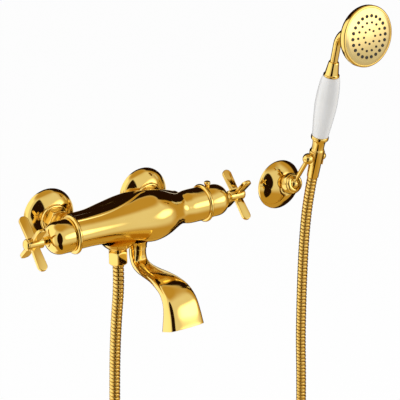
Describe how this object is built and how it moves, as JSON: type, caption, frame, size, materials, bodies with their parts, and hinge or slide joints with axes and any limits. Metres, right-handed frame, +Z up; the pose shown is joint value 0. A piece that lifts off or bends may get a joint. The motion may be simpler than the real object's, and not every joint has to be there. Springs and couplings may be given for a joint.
{
  "type": "thermostatic bath shower mixer",
  "caption": "Wall-mounted gold thermostatic bath mixer with cross handles, flared spout, ribbed hose, white-handled hand shower and a ball-jointed wall bracket.",
  "frame": {"origin": "on the wall plane, midway between the two inlets", "axes": "+X along the mixer towards the temperature handle and the bracket, +Y into the wall, +Z up"},
  "size_m": [0.5255, 0.2229, 0.962],
  "materials": {
    "gold": "polished gold plate",
    "plate_gold": "satin gold plate",
    "hose_gold": "gold plated double-lock hose",
    "brass_inside": "plain turned brass",
    "steel": "machined stainless steel",
    "white_glaze": "glossy white glaze",
    "nylon": "plain nylon",
    "rubber": "black rubber"
  },
  "bodies": {
    "mixer": {"mixer_body": "gold", "flow_ring": "gold", "temperature_ring": "gold", "flow_cartridge": "brass_inside", "thermostatic_cartridge": "brass_inside", "left_wall_union": "brass_inside", "right_wall_union": "brass_inside", "left_rosette": "gold", "right_rosette": "gold", "left_union_nut": "gold", "right_union_nut": "gold", "left_union_washer": "rubber", "right_union_washer": "rubber", "left_inlet_tail": "brass_inside", "right_inlet_tail": "brass_inside", "spout": "gold", "spout_nipple": "brass_inside", "hose_nipple": "gold", "hose_hex_nut": "gold", "hose_loop": "hose_gold", "hose_leg_low": "hose_gold", "bracket_base": "brass_inside", "bracket_rosette": "gold", "bracket_cup": "gold", "ball_seat": "nylon", "retaining_ring": "gold"},
    "flow_control": {"flow_handle": "gold", "flow_handle_cap": "gold", "flow_spindle": "steel", "flow_bonnet": "gold"},
    "temperature_control": {"temperature_handle": "gold", "temperature_handle_cap": "gold", "temperature_spindle": "steel", "temperature_bonnet": "gold"},
    "safety_stop": {"safety_button": "gold"},
    "arm": {"bracket_arm": "gold", "hose_leg_mid": "hose_gold"},
    "holder": {"handset_holder": "gold"},
    "hand_shower": {"hose_leg_top": "hose_gold", "hose_cone_nut": "gold", "lower_ferrule": "gold", "ceramic_handle": "white_glaze", "handle_core_tube": "brass_inside", "upper_ferrule": "gold", "neck_tube": "gold", "head_shell": "gold", "spray_plate": "plate_gold", "spray_nozzles": "rubber"}
  },
  "joints": [
    {"name": "flow_turn", "type": "hinge", "parent": "mixer", "child": "flow_control", "pos_m": [-0.083, -0.08, 0], "axis": [-1, 0, 0], "range_deg": [-90, 90]},
    {"name": "temperature_turn", "type": "hinge", "parent": "mixer", "child": "temperature_control", "pos_m": [0.123, -0.08, 0], "axis": [1, 0, 0], "range_deg": [-160, 60]},
    {"name": "safety_press", "type": "slide", "parent": "temperature_control", "child": "safety_stop", "axis": [0, 0, -1], "range_m": [0, 0.0025], "stiffness_N_per_m": 400, "springref_m": -0.002},
    {"name": "arm_swing", "type": "hinge", "parent": "mixer", "child": "arm", "pos_m": [0.315, -0.0384, -0.0231], "axis": [0, -0.9483, 0.3173], "range_deg": [-45, 45], "deforming": ["hose_leg_low", "hose_leg_mid", "hose_leg_top", "hose_loop"]},
    {"name": "holder_tilt", "type": "hinge", "parent": "arm", "child": "holder", "pos_m": [0.3145, -0.06999, 0.02413], "axis": [1, 0, 0], "range_deg": [-30, 8], "deforming": ["hose_leg_mid", "hose_leg_top", "hose_leg_low"]},
    {"name": "handset_lift", "type": "slide", "parent": "holder", "child": "hand_shower", "axis": [0, -0.2147, 0.9767], "range_m": [0, 0.06], "deforming": ["hose_leg_top", "hose_leg_mid"]}
  ]
}
